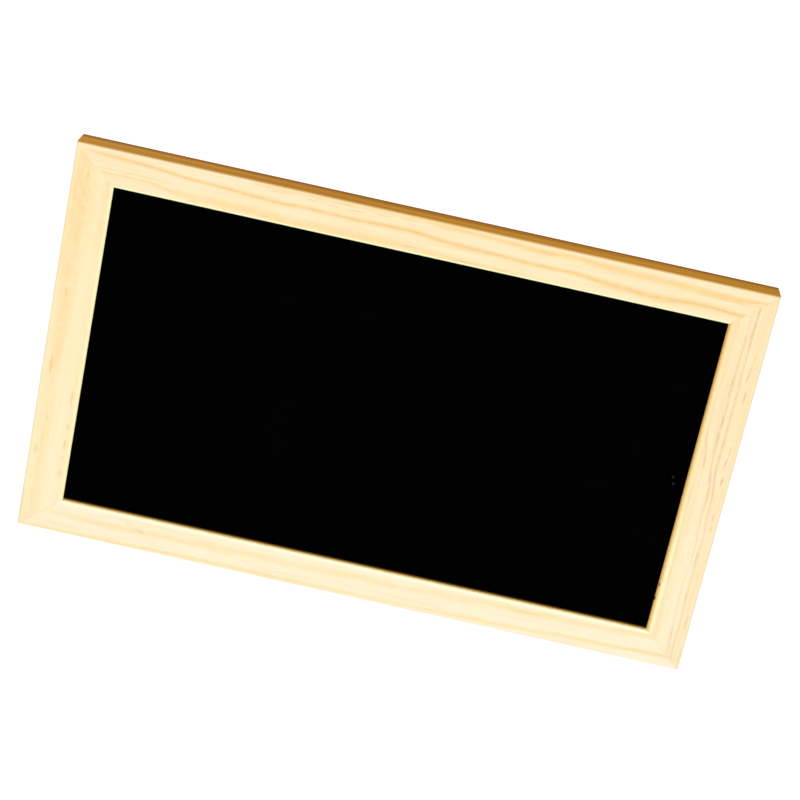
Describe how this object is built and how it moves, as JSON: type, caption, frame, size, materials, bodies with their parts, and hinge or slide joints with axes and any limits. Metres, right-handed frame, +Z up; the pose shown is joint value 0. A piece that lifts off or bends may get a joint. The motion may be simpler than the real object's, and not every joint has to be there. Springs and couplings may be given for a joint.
{
  "type": "wall chalkboard",
  "caption": "Black writing board in a mitred pale pine frame, with swinging D-ring hangers and bumpers on its back.",
  "frame": {"origin": "middle of the top rail's flat back, where the back of the frame faces the wall", "axes": "+X to the right as the writing side is read, +Y out of the back into the wall, +Z up"},
  "size_m": [0.4496, 0.0192, 0.2996],
  "materials": {
    "pine": "planed, pale, unvarnished",
    "chalk_surface": "matt black chalk paint on hardboard",
    "spring_steel": "bare spring steel",
    "zinc_steel": "zinc plated",
    "ring_wire": "nickel plated wire",
    "rubber": "matt grey rubber"
  },
  "bodies": {
    "board": {"top_rail": "pine", "bottom_rail": "pine", "left_stile": "pine", "right_stile": "pine", "writing_panel": "chalk_surface", "v_nail_top_left_outer": "spring_steel", "v_nail_top_left_inner": "spring_steel", "v_nail_top_right_outer": "spring_steel", "v_nail_top_right_inner": "spring_steel", "v_nail_bottom_left_outer": "spring_steel", "v_nail_bottom_left_inner": "spring_steel", "v_nail_bottom_right_outer": "spring_steel", "v_nail_bottom_right_inner": "spring_steel", "panel_tab_top_1": "spring_steel", "panel_tab_top_2": "spring_steel", "panel_tab_top_3": "spring_steel", "panel_tab_bottom_1": "spring_steel", "panel_tab_bottom_2": "spring_steel", "panel_tab_bottom_3": "spring_steel", "panel_tab_left_1": "spring_steel", "panel_tab_left_2": "spring_steel", "panel_tab_right_1": "spring_steel", "panel_tab_right_2": "spring_steel", "hanger_strap_left": "zinc_steel", "hanger_strap_right": "zinc_steel", "hanger_screw_left": "zinc_steel", "hanger_screw_right": "zinc_steel", "wall_bumper_left": "rubber", "wall_bumper_right": "rubber"},
    "left_ring": {"hanger_ring_left": "ring_wire"},
    "right_ring": {"hanger_ring_right": "ring_wire"}
  },
  "joints": [
    {"name": "left_ring_swing", "type": "hinge", "parent": "board", "child": "left_ring", "pos_m": [-0.2135, 0.0024, -0.0505], "axis": [1, 0, 0], "range_deg": [0, 178]},
    {"name": "right_ring_swing", "type": "hinge", "parent": "board", "child": "right_ring", "pos_m": [0.2135, 0.0024, -0.0505], "axis": [1, 0, 0], "range_deg": [0, 178]}
  ]
}
